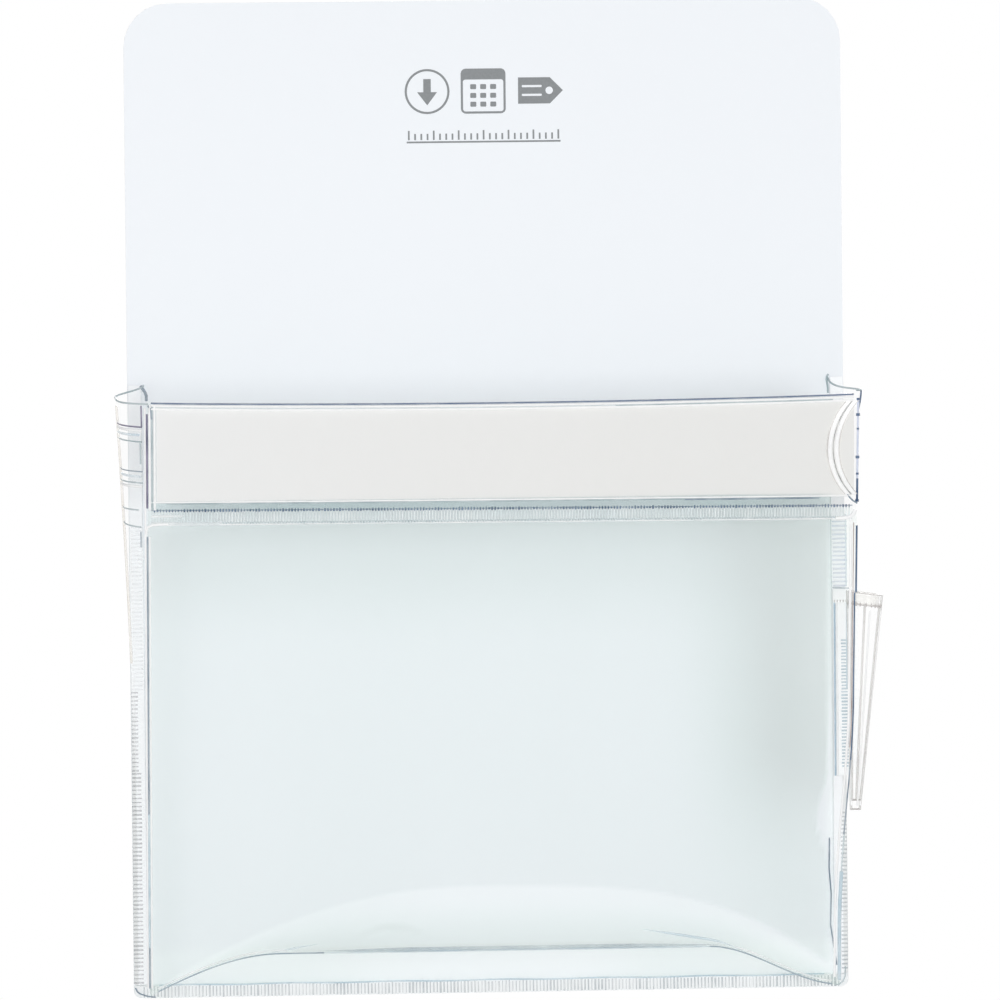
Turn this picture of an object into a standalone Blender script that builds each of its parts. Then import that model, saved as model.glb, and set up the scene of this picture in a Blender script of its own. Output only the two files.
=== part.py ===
"""A wall pocket for documents: a white back sheet on magnets, a clear pocket, a label window, a pen sleeve.

The wall is the plane y = 0 and the pocket's front faces -Y. Heights are counted from the sheet's bottom
edge, and the origin is the centre of the top magnet's rear face.
"""

import math

import bmesh
import bpy
from mathutils import Vector

MM = 0.001

# Clearance between pieces that touch.
GAP = 0.3 * MM

# Back sheet.
SHEET_WIDTH = 230 * MM
SHEET_HEIGHT = 318 * MM
SHEET_THICKNESS = 0.8 * MM
SHEET_TOP_RADIUS = 14 * MM
SHEET_BOTTOM_RADIUS = 2.5 * MM

# Magnet strips and their tape.
MAGNET_LENGTH = 190 * MM
MAGNET_HEIGHT = 20 * MM
MAGNET_THICKNESS = 1.5 * MM
MAGNET_CORNER = 1 * MM
TAPE_MARGIN = 1.5 * MM
TAPE_THICKNESS = 0.3 * MM
MAGNET_TOP_INSET = 28 * MM
MAGNET_BOTTOM_INSET = 24 * MM

# Clear film and its welds.
FILM = 0.4 * MM
FLANGE_WIDTH = 4.1 * MM
FLANGE_INSET = 0.2 * MM
BOTTOM_FLANGE_HEIGHT = 4 * MM

# Pocket: height of its rim, depth from the sheet, and how far the front panel's sides lie inside the sheet's.
# The right side swells past the sheet above the bottom corner.
RIM_HEIGHT = 191.2 * MM
MOUTH_DEPTH = 28 * MM
BASE_DEPTH = 10 * MM
LEFT_MARGIN = 4.5 * MM
RIGHT_MARGIN_BOTTOM = 3.9 * MM
RIGHT_MARGIN_MIDDLE = -0.7 * MM
RIGHT_MARGIN_TOP = -1.6 * MM
RIGHT_SWELL_START = 20 * MM
RIGHT_SWELL_END = 95 * MM

# Crease above which the front panel is flat: low at the corners, high between them, rounder on the left.
CREASE_MIDDLE_HEIGHT = 14.5 * MM
CREASE_CORNER_HEIGHT = 1.6 * MM
CREASE_RAMP = 42 * MM

# Side gussets: how far they stand out from a straight line, and how much higher they are at the back.
GUSSET_BACK_RISE = 5 * MM
GUSSET_FULLNESS = 3.5
LEFT_BULGE_TOP = 9.6 * MM
LEFT_BULGE_BOTTOM = 3.2 * MM
RIGHT_BULGE_TOP = 3.5 * MM
RIGHT_BULGE_BESIDE_SLEEVE = -1 * MM
RIGHT_BULGE_RAMP = 50 * MM

# Label window and card.
CARD_HEIGHT = 29.7 * MM
CARD_THICKNESS = 0.3 * MM
CARD_CORNER = 0.8 * MM
CARD_LEFT_MARGIN = 2.9 * MM
CARD_RIGHT_MARGIN = 1.4 * MM
CARD_TOP_MARGIN = 1.8 * MM
CARD_FOOT_CLEARANCE = 3.1 * MM
WINDOW_WELD_HEIGHT = 4.9 * MM
WINDOW_STEP_RISE = 0.8 * MM
WINDOW_LEFT_MARGIN = 1.2 * MM
WINDOW_RIGHT_MARGIN = 1.6 * MM
NOTCH_DEPTH = 6.4 * MM
NOTCH_HEIGHT = 31 * MM

# Pen sleeve: a tapering flat oval tube on a strip of film, which is welded on the right flange.
SLEEVE_MOUTH_HEIGHT = 127 * MM
SLEEVE_MOUTH_SLANT = 1.5 * MM
SLEEVE_LENGTH = 70 * MM
SLEEVE_MOUTH_WIDTH = 11.2 * MM
SLEEVE_MOUTH_DEPTH = 10 * MM
SLEEVE_TIP_WIDTH = 2.8 * MM
SLEEVE_TIP_DEPTH = 3 * MM
SLEEVE_LEAN = 1 * MM
SLEEVE_ROUNDNESS = 2.5
HEM_HEIGHT = 4 * MM
STRIP_INSET = 4.1 * MM
STRIP_WIDTH = 8.1 * MM
STRIP_RISE = 1 * MM
STRIP_FOOT = 11 * MM

# Steps of the curved surfaces, across and along each film.
CORNER_STEPS = 6
FRONT_STEPS = (24, 12)
TURN_SHARE = 0.25
GUSSET_STEPS = (12, 14)
WINDOW_COLUMNS = 4
WINDOW_ROWS = 12
SLEEVE_STEPS = (28, 6)

# Heights, depths and widths that follow from the sizes above.
FRONT_WIDTH_TOP = SHEET_WIDTH - LEFT_MARGIN - RIGHT_MARGIN_TOP
FRONT_WIDTH_BOTTOM = SHEET_WIDTH - LEFT_MARGIN - RIGHT_MARGIN_BOTTOM
CARD_LENGTH = FRONT_WIDTH_TOP - CARD_LEFT_MARGIN - CARD_RIGHT_MARGIN
SHEET_BACK = -(MAGNET_THICKNESS + TAPE_THICKNESS + 2 * GAP)
SHEET_FRONT = SHEET_BACK - SHEET_THICKNESS
FLANGE_MIDDLE = SHEET_FRONT - GAP - FILM / 2
FLANGE_INNER = SHEET_WIDTH / 2 - FLANGE_INSET - FLANGE_WIDTH
GUSSET_ROOT = FLANGE_INNER - 2 * GAP - FILM / 2
SLEEVE_LEFT = SHEET_WIDTH / 2
STRIP_MIDDLE = FLANGE_MIDDLE - FILM - GAP
SLEEVE_BACK = STRIP_MIDDLE - FILM / 2 - GAP
SEAM_HEIGHT = BOTTOM_FLANGE_HEIGHT + GAP
ORIGIN_HEIGHT = SHEET_HEIGHT - MAGNET_TOP_INSET
FRONT_TILT = math.atan2(MOUTH_DEPTH - BASE_DEPTH, RIM_HEIGHT)
FRONT_UP = Vector((0, -math.sin(FRONT_TILT), math.cos(FRONT_TILT)))
FRONT_OUT = Vector((0, -math.cos(FRONT_TILT), -math.sin(FRONT_TILT)))
RIM_REACH = RIM_HEIGHT / math.cos(FRONT_TILT)
CARD_OUT = FILM / 2 + GAP + CARD_THICKNESS / 2
WINDOW_OUT = CARD_OUT + CARD_THICKNESS / 2 + GAP + FILM / 2
WELD_OUT = FILM + GAP
WINDOW_HEIGHT = WINDOW_WELD_HEIGHT + CARD_FOOT_CLEARANCE + CARD_HEIGHT + CARD_TOP_MARGIN


def clear_scene():
    for item in list(bpy.data.objects):
        bpy.data.objects.remove(item, do_unlink=True)


def new_collection(name):
    group = bpy.data.collections.new(name)
    bpy.context.scene.collection.children.link(group)
    return group


def material(name, colour, roughness, alpha=1.0):
    made = bpy.data.materials.new(name)
    made.use_nodes = True
    shader = made.node_tree.nodes["Principled BSDF"]
    shader.inputs["Base Color"].default_value = (*colour, 1.0)
    shader.inputs["Roughness"].default_value = roughness
    shader.inputs["Metallic"].default_value = 0.0
    shader.inputs["Alpha"].default_value = alpha
    return made


def sheet_material(name):
    return material(name, (0.86, 0.89, 0.93), 0.45)


def film_material(name):
    return material(name, (0.82, 0.89, 0.90), 0.12, 0.3)


def card_material(name):
    return material(name, (0.80, 0.79, 0.77), 0.7)


def magnet_material(name):
    return material(name, (0.03, 0.03, 0.03), 0.6)


def tape_material(name):
    return material(name, (0.75, 0.72, 0.62), 0.8)


def lerp(a, b, t):
    return a + (b - a) * t


def smooth(t):
    t = min(1.0, max(0.0, t))
    return t * t * (3 - 2 * t)


def raised(point):
    """Moves a point from heights above the sheet's bottom edge to the part's own frame."""
    return Vector(point) - Vector((0, 0, ORIGIN_HEIGHT))


def add_object(group, name, data, finish):
    data.materials.append(finish)
    made = bpy.data.objects.new(name, data)
    group.objects.link(made)
    return made


def rounded_outline(width, height, top_radius, bottom_radius):
    """Points round a rectangle that stands on the x axis, with arcs at its corners."""
    corners = (
        (width / 2, 0, bottom_radius, -90),
        (width / 2, height, top_radius, 0),
        (-width / 2, height, top_radius, 90),
        (-width / 2, 0, bottom_radius, 180),
    )
    points = []
    for x, y, radius, start in corners:
        centre_x = x - math.copysign(radius, x)
        centre_y = y + (radius if y == 0 else -radius)
        for step in range(CORNER_STEPS + 1):
            angle = math.radians(start + 90 * step / CORNER_STEPS)
            points.append((centre_x + radius * math.cos(angle), centre_y + radius * math.sin(angle)))
    return points


def plate(group, name, outline, thickness, middle, tilt, finish):
    """A flat plate from an outline in x and height, standing at middle and leaning forward by tilt."""
    curve = bpy.data.curves.new(name, "CURVE")
    curve.dimensions = "2D"
    curve.fill_mode = "BOTH"
    curve.extrude = thickness / 2
    spline = curve.splines.new("POLY")
    spline.points.add(len(outline) - 1)
    for point, (x, y) in zip(spline.points, outline):
        point.co = (x, y, 0, 1)
    spline.use_cyclic_u = True
    made = add_object(group, name, curve, finish)
    made.location = raised(middle)
    made.rotation_euler = (math.pi / 2 + tilt, 0, 0)
    return made


def film_surface(group, name, steps, place, closed=False, origin=(0, 0, 0)):
    """A film on the surface place(u, v), thickened evenly to both sides. closed joins u = 0 to u = 1."""
    mesh = bpy.data.meshes.new(name)
    cage = bmesh.new()
    bmesh.ops.create_grid(cage, x_segments=steps[0], y_segments=steps[1], size=0.5)
    for vertex in cage.verts:
        u, v = vertex.co.x + 0.5, vertex.co.y + 0.5
        vertex.co = place(u, v) - Vector(origin)
    if closed:
        bmesh.ops.remove_doubles(cage, verts=cage.verts, dist=MM / 100)
    bmesh.ops.recalc_face_normals(cage, faces=cage.faces)
    cage.to_mesh(mesh)
    cage.free()
    made = add_object(group, name, mesh, film_material(name))
    made.location = raised(origin)
    shell = made.modifiers.new("Film", "SOLIDIFY")
    shell.thickness = FILM
    shell.offset = 0
    shell.use_even_offset = True
    mesh.shade_smooth()
    mesh.set_sharp_from_angle(angle=math.radians(35))
    return made


def front_side(height, side):
    """x of the front panel's left (-1) or right (1) fold at this height."""
    if side < 0:
        return LEFT_MARGIN - SHEET_WIDTH / 2
    swell = smooth((height - RIGHT_SWELL_START) / (RIGHT_SWELL_END - RIGHT_SWELL_START))
    rise = max(0, height - RIGHT_SWELL_END) / (RIM_HEIGHT - RIGHT_SWELL_END)
    margin = lerp(RIGHT_MARGIN_BOTTOM, RIGHT_MARGIN_MIDDLE, swell)
    return SHEET_WIDTH / 2 - margin - (RIGHT_MARGIN_TOP - RIGHT_MARGIN_MIDDLE) * rise


def front_depth(height):
    """Depth of the front panel from the sheet at this height."""
    return lerp(BASE_DEPTH, MOUTH_DEPTH, height / RIM_HEIGHT)


def on_front(x, reach, out):
    """A point of the front panel: reach runs up the panel from the bottom, and out stands off its face."""
    base = Vector((x, SHEET_FRONT - BASE_DEPTH, 0))
    return base + reach * FRONT_UP + out * FRONT_OUT


def crease_height(u):
    """Height of the crease where the front film turns back, at this share of the width."""
    edge = min(1, min(u, 1 - u) * FRONT_WIDTH_BOTTOM / CREASE_RAMP)
    share = math.sin(math.pi / 2 * edge) if u < 0.5 else smooth(edge)
    return lerp(CREASE_CORNER_HEIGHT, CREASE_MIDDLE_HEIGHT, share)


def front_point(u, v):
    """The front film: up to TURN_SHARE it rises from the seam to the crease, then it is the flat panel."""
    crease = crease_height(u)
    if v >= TURN_SHARE:
        height = lerp(crease, RIM_HEIGHT, (v - TURN_SHARE) / (1 - TURN_SHARE))
        depth = front_depth(height)
    else:
        height = lerp(SEAM_HEIGHT, crease, v / TURN_SHARE)
        depth = lerp(SHEET_FRONT - FLANGE_MIDDLE, front_depth(crease), v / TURN_SHARE)
    panel_height = max(height, crease)
    x = lerp(front_side(panel_height, -1), front_side(panel_height, 1), u)
    return Vector((x, SHEET_FRONT - depth, height))


def gusset_bulge(height, side):
    """How far the gusset stands out from the straight line between its weld and its fold."""
    if side < 0:
        return lerp(LEFT_BULGE_BOTTOM, LEFT_BULGE_TOP, (height / RIM_HEIGHT) ** 2)
    start = RIM_HEIGHT - RIGHT_BULGE_RAMP
    return lerp(RIGHT_BULGE_BESIDE_SLEEVE, RIGHT_BULGE_TOP, smooth((height - start) / RIGHT_BULGE_RAMP))


def gusset_bend(u):
    """Share of the bulge between the weld (0) and the front fold (1), fullest towards the fold."""
    if u < 0.5:
        return smooth(2 * u)
    return 1 - (2 * u - 1) ** GUSSET_FULLNESS


def gusset_point(side):
    """The surface of one gusset: u runs from the weld to the front fold, v from bottom to top."""

    def place(u, v):
        clearance = FILM + GAP
        low = lerp(SEAM_HEIGHT, CREASE_CORNER_HEIGHT, u) + clearance
        high = RIM_HEIGHT + GUSSET_BACK_RISE * (1 - u) ** 2
        height = lerp(low, high, v)
        start = SHEET_FRONT - GAP
        end = SHEET_FRONT - front_depth(min(height, RIM_HEIGHT)) + FILM / 2 + GAP + FILM / 4
        fold = abs(front_side(min(height, RIM_HEIGHT), side)) - FILM
        x = lerp(GUSSET_ROOT, fold, smooth(u)) + gusset_bulge(height, side) * gusset_bend(u)
        return Vector((side * x, lerp(start, end, u), height))

    return place


def window_right(reach):
    """x of the label window's right end, drawn in by the thumb notch."""
    end = front_side(reach * math.cos(FRONT_TILT), 1) - WINDOW_RIGHT_MARGIN
    radius = (NOTCH_HEIGHT**2 / 4 + NOTCH_DEPTH**2) / (2 * NOTCH_DEPTH)
    from_middle = reach - (RIM_REACH - CARD_TOP_MARGIN - CARD_HEIGHT / 2)
    if abs(from_middle) >= NOTCH_HEIGHT / 2:
        return end
    return end - (math.sqrt(radius**2 - from_middle**2) - (radius - NOTCH_DEPTH))


def window_profile():
    """The label window's section as (reach, out): the weld, the step, the window and the lip over the rim."""
    bottom = RIM_REACH - WINDOW_HEIGHT
    step = bottom + WINDOW_WELD_HEIGHT
    top = RIM_REACH + FILM / 2 + GAP
    profile = [(bottom, WELD_OUT), (step, WELD_OUT), (step + WINDOW_STEP_RISE, WINDOW_OUT)]
    first = step + WINDOW_STEP_RISE
    profile += [(lerp(first, top, i / WINDOW_ROWS), WINDOW_OUT) for i in range(1, WINDOW_ROWS + 1)]
    profile.append((top, 0))
    return profile


def window_point(profile):
    def place(u, v):
        reach, out = profile[round(v * (len(profile) - 1))]
        left = front_side(RIM_HEIGHT, -1) + WINDOW_LEFT_MARGIN
        return on_front(lerp(left, window_right(min(reach, RIM_REACH)), u), reach, out)

    return place


def sleeve_section(height):
    """Centre and half sizes of the pen sleeve's outer oval at this height."""
    t = (height - (SLEEVE_MOUTH_HEIGHT - SLEEVE_LENGTH)) / SLEEVE_LENGTH
    width = lerp(SLEEVE_TIP_WIDTH, SLEEVE_MOUTH_WIDTH, t)
    depth = lerp(SLEEVE_TIP_DEPTH, SLEEVE_MOUTH_DEPTH, t)
    left = SLEEVE_LEFT + SLEEVE_LEAN * (1 - t)
    return left + width / 2, SLEEVE_BACK - depth / 2, width / 2, depth / 2


def sleeve_point(low, high, inset):
    """The sleeve's wall between two heights, inset from its outer oval. The mouth slants."""

    def place(u, v):
        height = lerp(low, high, v)
        x, y, half_width, half_depth = sleeve_section(height)
        angle = 2 * math.pi * u
        across, along = math.cos(angle), math.sin(angle)
        power = 2 / SLEEVE_ROUNDNESS
        x += math.copysign(abs(across) ** power, across) * (half_width - inset)
        y += math.copysign(abs(along) ** power, along) * (half_depth - inset)
        fall = SLEEVE_MOUTH_SLANT * (x - SLEEVE_LEFT) / SLEEVE_MOUTH_WIDTH - SLEEVE_MOUTH_SLANT / 2
        rise = (height - SLEEVE_MOUTH_HEIGHT + SLEEVE_LENGTH) / SLEEVE_LENGTH
        return Vector((x, y, height - fall * rise**2))

    return place


def add_back_sheet(group):
    outline = rounded_outline(SHEET_WIDTH, SHEET_HEIGHT, SHEET_TOP_RADIUS, SHEET_BOTTOM_RADIUS)
    middle = (0, (SHEET_BACK + SHEET_FRONT) / 2, 0)
    plate(group, "back_sheet", outline, SHEET_THICKNESS, middle, 0, sheet_material("back_sheet"))


def add_magnets(group):
    low = MAGNET_BOTTOM_INSET
    high = ORIGIN_HEIGHT
    for name, height in (("bottom", low), ("middle", (low + high) / 2), ("top", high)):
        strip = rounded_outline(MAGNET_LENGTH, MAGNET_HEIGHT, MAGNET_CORNER, MAGNET_CORNER)
        foot = (0, -MAGNET_THICKNESS / 2, height - MAGNET_HEIGHT / 2)
        plate(group, f"magnet_{name}", strip, MAGNET_THICKNESS, foot, 0, magnet_material(f"magnet_{name}"))
        tape_height = MAGNET_HEIGHT - 2 * TAPE_MARGIN
        tape = rounded_outline(MAGNET_LENGTH - 2 * TAPE_MARGIN, tape_height, MAGNET_CORNER, MAGNET_CORNER)
        foot = (0, -MAGNET_THICKNESS - GAP - TAPE_THICKNESS / 2, height - tape_height / 2)
        plate(group, f"tape_{name}", tape, TAPE_THICKNESS, foot, 0, tape_material(f"tape_{name}"))


def add_flanges(group):
    length = RIM_HEIGHT + GUSSET_BACK_RISE - SEAM_HEIGHT
    strip = rounded_outline(FLANGE_WIDTH, length, FILM, FILM)
    for name, side in (("left_flange", -1), ("right_flange", 1)):
        foot = (side * (FLANGE_INNER + FLANGE_WIDTH / 2), FLANGE_MIDDLE, SEAM_HEIGHT)
        plate(group, name, strip, FILM, foot, 0, film_material(name))
    width = SHEET_WIDTH - 2 * FLANGE_INSET
    strip = rounded_outline(width, BOTTOM_FLANGE_HEIGHT, FILM, SHEET_BOTTOM_RADIUS)
    foot = (0, FLANGE_MIDDLE, 0)
    plate(group, "bottom_flange", strip, FILM, foot, 0, film_material("bottom_flange"))


def add_front_film(group):
    hinge = (0, FLANGE_MIDDLE, SEAM_HEIGHT)
    film_surface(group, "front_film", FRONT_STEPS, front_point, origin=hinge)


def add_gussets(group):
    for name, side in (("left_gusset", -1), ("right_gusset", 1)):
        film_surface(group, name, GUSSET_STEPS, gusset_point(side))


def add_label(group):
    profile = window_profile()
    film_surface(group, "label_window", (WINDOW_COLUMNS, len(profile) - 1), window_point(profile))
    outline = rounded_outline(CARD_LENGTH, CARD_HEIGHT, CARD_CORNER, CARD_CORNER)
    left = front_side(RIM_HEIGHT, -1) + CARD_LEFT_MARGIN
    foot = on_front(left + CARD_LENGTH / 2, RIM_REACH - CARD_TOP_MARGIN - CARD_HEIGHT, CARD_OUT)
    plate(group, "label_card", outline, CARD_THICKNESS, foot, FRONT_TILT, card_material("label_card"))


def add_pen_sleeve(group):
    bottom = SLEEVE_MOUTH_HEIGHT - SLEEVE_LENGTH
    length = SLEEVE_LENGTH + STRIP_RISE - STRIP_FOOT
    strip = rounded_outline(STRIP_WIDTH, length, FILM, FILM)
    foot = (SLEEVE_LEFT - STRIP_INSET + STRIP_WIDTH / 2, STRIP_MIDDLE, bottom + STRIP_FOOT)
    plate(group, "pen_sleeve_strip", strip, FILM, foot, 0, film_material("pen_sleeve_strip"))
    hinge = (SLEEVE_LEFT, SLEEVE_BACK, 0)
    wall = sleeve_point(bottom, SLEEVE_MOUTH_HEIGHT, FILM / 2)
    film_surface(group, "pen_sleeve", SLEEVE_STEPS, wall, closed=True, origin=hinge)
    band = sleeve_point(SLEEVE_MOUTH_HEIGHT - HEM_HEIGHT, SLEEVE_MOUTH_HEIGHT, FILM * 1.5 + GAP)
    film_surface(group, "pen_sleeve_hem", (SLEEVE_STEPS[0], 1), band, closed=True, origin=hinge)


def build():
    clear_scene()
    group = new_collection("magnetic_document_pocket")
    add_back_sheet(group)
    add_magnets(group)
    add_flanges(group)
    add_front_film(group)
    add_gussets(group)
    add_label(group)
    add_pen_sleeve(group)


build()
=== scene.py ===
"""A magnetic document pocket: white back sheet, clear bellows pocket, label window with its card, pen sleeve.

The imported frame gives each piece's size and place. Heights are counted from the sheet's bottom edge.
"""

import math

import bmesh
import bpy
from mathutils import Matrix, Vector


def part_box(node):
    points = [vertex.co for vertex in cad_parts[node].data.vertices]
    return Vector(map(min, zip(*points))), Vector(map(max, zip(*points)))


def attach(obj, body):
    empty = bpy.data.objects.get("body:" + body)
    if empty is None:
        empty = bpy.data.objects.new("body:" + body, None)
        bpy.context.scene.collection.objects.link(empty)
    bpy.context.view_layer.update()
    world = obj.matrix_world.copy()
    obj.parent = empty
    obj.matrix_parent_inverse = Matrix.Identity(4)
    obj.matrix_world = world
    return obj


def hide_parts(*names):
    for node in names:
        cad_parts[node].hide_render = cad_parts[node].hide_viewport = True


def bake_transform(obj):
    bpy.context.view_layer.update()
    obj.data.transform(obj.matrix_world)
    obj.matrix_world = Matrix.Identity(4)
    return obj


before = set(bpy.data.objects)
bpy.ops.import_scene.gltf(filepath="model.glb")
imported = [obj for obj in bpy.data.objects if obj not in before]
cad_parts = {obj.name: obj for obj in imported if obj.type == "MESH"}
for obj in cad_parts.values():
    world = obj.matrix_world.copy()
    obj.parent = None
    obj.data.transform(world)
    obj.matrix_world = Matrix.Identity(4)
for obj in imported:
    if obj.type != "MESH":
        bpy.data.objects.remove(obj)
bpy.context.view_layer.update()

MM = 0.001

# Sizes read from the frame.
SHEET_LOW, SHEET_HIGH = (Vector(corner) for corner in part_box("back_sheet"))
CARD_LOW, CARD_HIGH = (Vector(corner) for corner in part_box("label_card"))
FOOT_LOW, FOOT_HIGH = (Vector(corner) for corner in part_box("bottom_flange"))
STRIP_LOW, STRIP_HIGH = (Vector(corner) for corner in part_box("pen_sleeve_strip"))
SIDE_WELD_LEFT = Vector(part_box("right_flange")[0]).x
SLEEVE_BACK = Vector(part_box("pen_sleeve")[1]).y

BASE = SHEET_LOW.z
SHEET_FRONT = SHEET_LOW.y
SHEET_HALF = SHEET_HIGH.x
FILM = 0.4 * MM
GAP = 0.3 * MM

# The pocket, as the frame's films have it.
RIM_HEIGHT = 191.2 * MM
MOUTH_DEPTH = 28 * MM
BASE_DEPTH = 10 * MM
LEFT_MARGIN = 4.5 * MM
RIGHT_MARGIN_BOTTOM = 3.9 * MM
RIGHT_MARGIN_MIDDLE = -0.7 * MM
RIGHT_MARGIN_TOP = -1.6 * MM
RIGHT_SWELL_START = 20 * MM
RIGHT_SWELL_END = 95 * MM
CREASE_MIDDLE_HEIGHT = 14.5 * MM
CREASE_CORNER_HEIGHT = 1.6 * MM
CREASE_RAMP = 42 * MM
SEAM_HEIGHT = FOOT_HIGH.z - BASE + GAP
SEAM_DEPTH = SHEET_FRONT - (FOOT_LOW.y + FOOT_HIGH.y) / 2
FRONT_TILT = math.atan2(MOUTH_DEPTH - BASE_DEPTH, RIM_HEIGHT)
FRONT_RISE = math.cos(FRONT_TILT)
FRONT_UP = Vector((0, -math.sin(FRONT_TILT), FRONT_RISE))
FRONT_OUT = Vector((0, -FRONT_RISE, -math.sin(FRONT_TILT)))
RIM_REACH = RIM_HEIGHT / FRONT_RISE

# The belly of the soft panel below the label, and how far the rim and the card sag between their ends.
PANEL_BULGE = 1.4 * MM
RIM_SAG = 1.4 * MM
CARD_SAG = 0.7 * MM

# The pale glare at the panel's foot: its top, its half widths and how square its two shoulders are.
GLARE_TOP = 35.2 * MM
GLARE_DROP = 32.5 * MM
GLARE_MIDDLE = -8 * MM
GLARE_LEFT, GLARE_RIGHT = 102 * MM, 122 * MM
GLARE_LEFT_POWER, GLARE_RIGHT_POWER = 2.0, 3.4

# The label window.
CARD_HEIGHT = 29.7 * MM
CARD_THICKNESS = 0.3 * MM
CARD_TOP_MARGIN = 1.8 * MM
CARD_FOOT_CLEARANCE = 3.1 * MM
CARD_OUT = 0.65 * MM
WINDOW_WELD_HEIGHT = 4.9 * MM
WINDOW_STEP_RISE = 0.8 * MM
WINDOW_LEFT_MARGIN = 1.2 * MM
WINDOW_RIGHT_MARGIN = 1.6 * MM
NOTCH_DEPTH = 6.4 * MM
NOTCH_HEIGHT = 31 * MM
WINDOW_OUT = 1.3 * MM
WELD_OUT = 0.7 * MM
WINDOW_HEIGHT = WINDOW_WELD_HEIGHT + CARD_FOOT_CLEARANCE + CARD_HEIGHT + CARD_TOP_MARGIN
WINDOW_FOOT = RIM_REACH - WINDOW_HEIGHT
LABEL_FOOT = WINDOW_FOOT * FRONT_RISE
WINDOW_STEP = WINDOW_FOOT + WINDOW_WELD_HEIGHT

# How far the weld's foot, the seam above it and the card's foot stand off level at the left and right ends.
FOOT_LIFT = (0.95 * MM, 0.0)
SEAM_LIFT = (0.45 * MM, -0.9 * MM)
CARD_FOOT_LIFT = (0.35 * MM, -0.45 * MM)
LEVEL = (0.0, 0.0)

# How deep the window's painted shade is on its weld and, deepest, between the weld and the card's foot, under
# the card's shadow.
WELD_SHADE, GAP_SHADE = 0.7, 5.8

# The gussets.
GUSSET_BACK_RISE = 5 * MM
RIGHT_FRONT_RISE = 1.5 * MM
GUSSET_FULLNESS = 3.5
GUSSET_ROOT = SIDE_WELD_LEFT - 2 * GAP - FILM / 2
LEFT_BULGE_TOP = 9.6 * MM
LEFT_BULGE_BOTTOM = 3.2 * MM
RIGHT_BULGE_TOP = 3.5 * MM
RIGHT_BULGE_BESIDE_SLEEVE = -1 * MM
RIGHT_BULGE_RAMP = 50 * MM

# The pen sleeve.
SLEEVE_MOUTH_HEIGHT = 127 * MM
SLEEVE_MOUTH_SLANT = 1.5 * MM
SLEEVE_LENGTH = 70 * MM
SLEEVE_MOUTH_WIDTH = 11.2 * MM
SLEEVE_MOUTH_DEPTH = 10 * MM
SLEEVE_TIP_WIDTH = 2.8 * MM
SLEEVE_TIP_DEPTH = 3 * MM
SLEEVE_LEAN = 1 * MM
SLEEVE_ROUNDNESS = 2.5
HEM_HEIGHT = 4 * MM

# Weld ribs: pitch on each seam, and how high they stand.
LABEL_RIB_PITCH = 0.95 * MM
FOOT_RIB_PITCH = 1.1 * MM
SIDE_RIB_PITCH = 1.28 * MM
RIB_HEIGHT = 0.16 * MM

# The side welds' outer part turns grey below a height, over a short way.
SIDE_WELD_OUTER = 113.3 * MM
SIDE_WELD_FADE = (104 * MM, 74 * MM)

# The floor's width, its distance below the sheet and the share of white it gives back.
FLOOR_SIZE, FLOOR_DROP, FLOOR_WHITE = 1.6, 0.11, 0.85

# The strength of the room's soft light, and the lamps: name, place, width and watts.
ROOM_LIGHT = 0.42
LAMPS = (("key", (-0.9, -2.8, 0.4), 1.3, 32.5), ("fill", (1.1, -2.6, -0.45), 1.3, 17),
         ("back_light", (0.7, 2.8, 0.5), 1.6, 26))
LIT_POINT = Vector((0, 0, -0.13))

CAMERA_AZIMUTH = -5
CAMERA_ELEVATION = 2.5
CAMERA_ROLL = 0.57
CAMERA_DISTANCE = 4.0
FRAME_WIDTH = 0.3203
AIM = Vector((4.1 * MM, SHEET_FRONT, BASE + 158 * MM))


def lerp(a, b, t):
    return a + (b - a) * t


def smooth(t):
    t = min(1.0, max(0.0, t))
    return t * t * (3 - 2 * t)


def fade(value, start, length):
    """0 up to start, then a smooth rise to 1 over this length."""
    return smooth((value - start) / length)


def hump(t):
    """0 outside 0 to 1, and a smooth rise to 1 and back between them."""
    return math.sin(math.pi * min(1.0, max(0.0, t)))


# Shader building.


def add_node(tree, kind, settings=None, values=None):
    """A node with its settings, and with its inputs set to values or joined to sockets."""
    made = tree.nodes.new(kind)
    for name, value in (settings or {}).items():
        setattr(made, name, value)
    for name, value in (values or {}).items():
        if isinstance(value, bpy.types.NodeSocket):
            tree.links.new(value, made.inputs[name])
        else:
            made.inputs[name].default_value = value
    return made


class Wire:
    """A number socket of a material, with arithmetic that adds Math nodes."""

    def __init__(self, finish, socket):
        self.finish = finish
        self.socket = socket

    def math(self, operation, *values):
        made = self.finish.node("Math", {"operation": operation}, dict(enumerate(values)))
        return Wire(self.finish, made.outputs[0])

    def __add__(self, other):
        return self.math("ADD", self, other)

    def __sub__(self, other):
        return self.math("SUBTRACT", self, other)

    def __rsub__(self, other):
        return self.math("SUBTRACT", other, self)

    def __mul__(self, other):
        return self.math("MULTIPLY", self, other)

    def __pow__(self, other):
        return self.math("POWER", self, other)

    __radd__ = __add__
    __rmul__ = __mul__

    def clamped(self, low, high):
        return self.math("MINIMUM", self.math("MAXIMUM", self, low), high)

    def ramp(self, start, end):
        """0 at start and before it, 1 at end and beyond."""
        return ((self - start) * (1 / (end - start))).clamped(0, 1)


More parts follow.
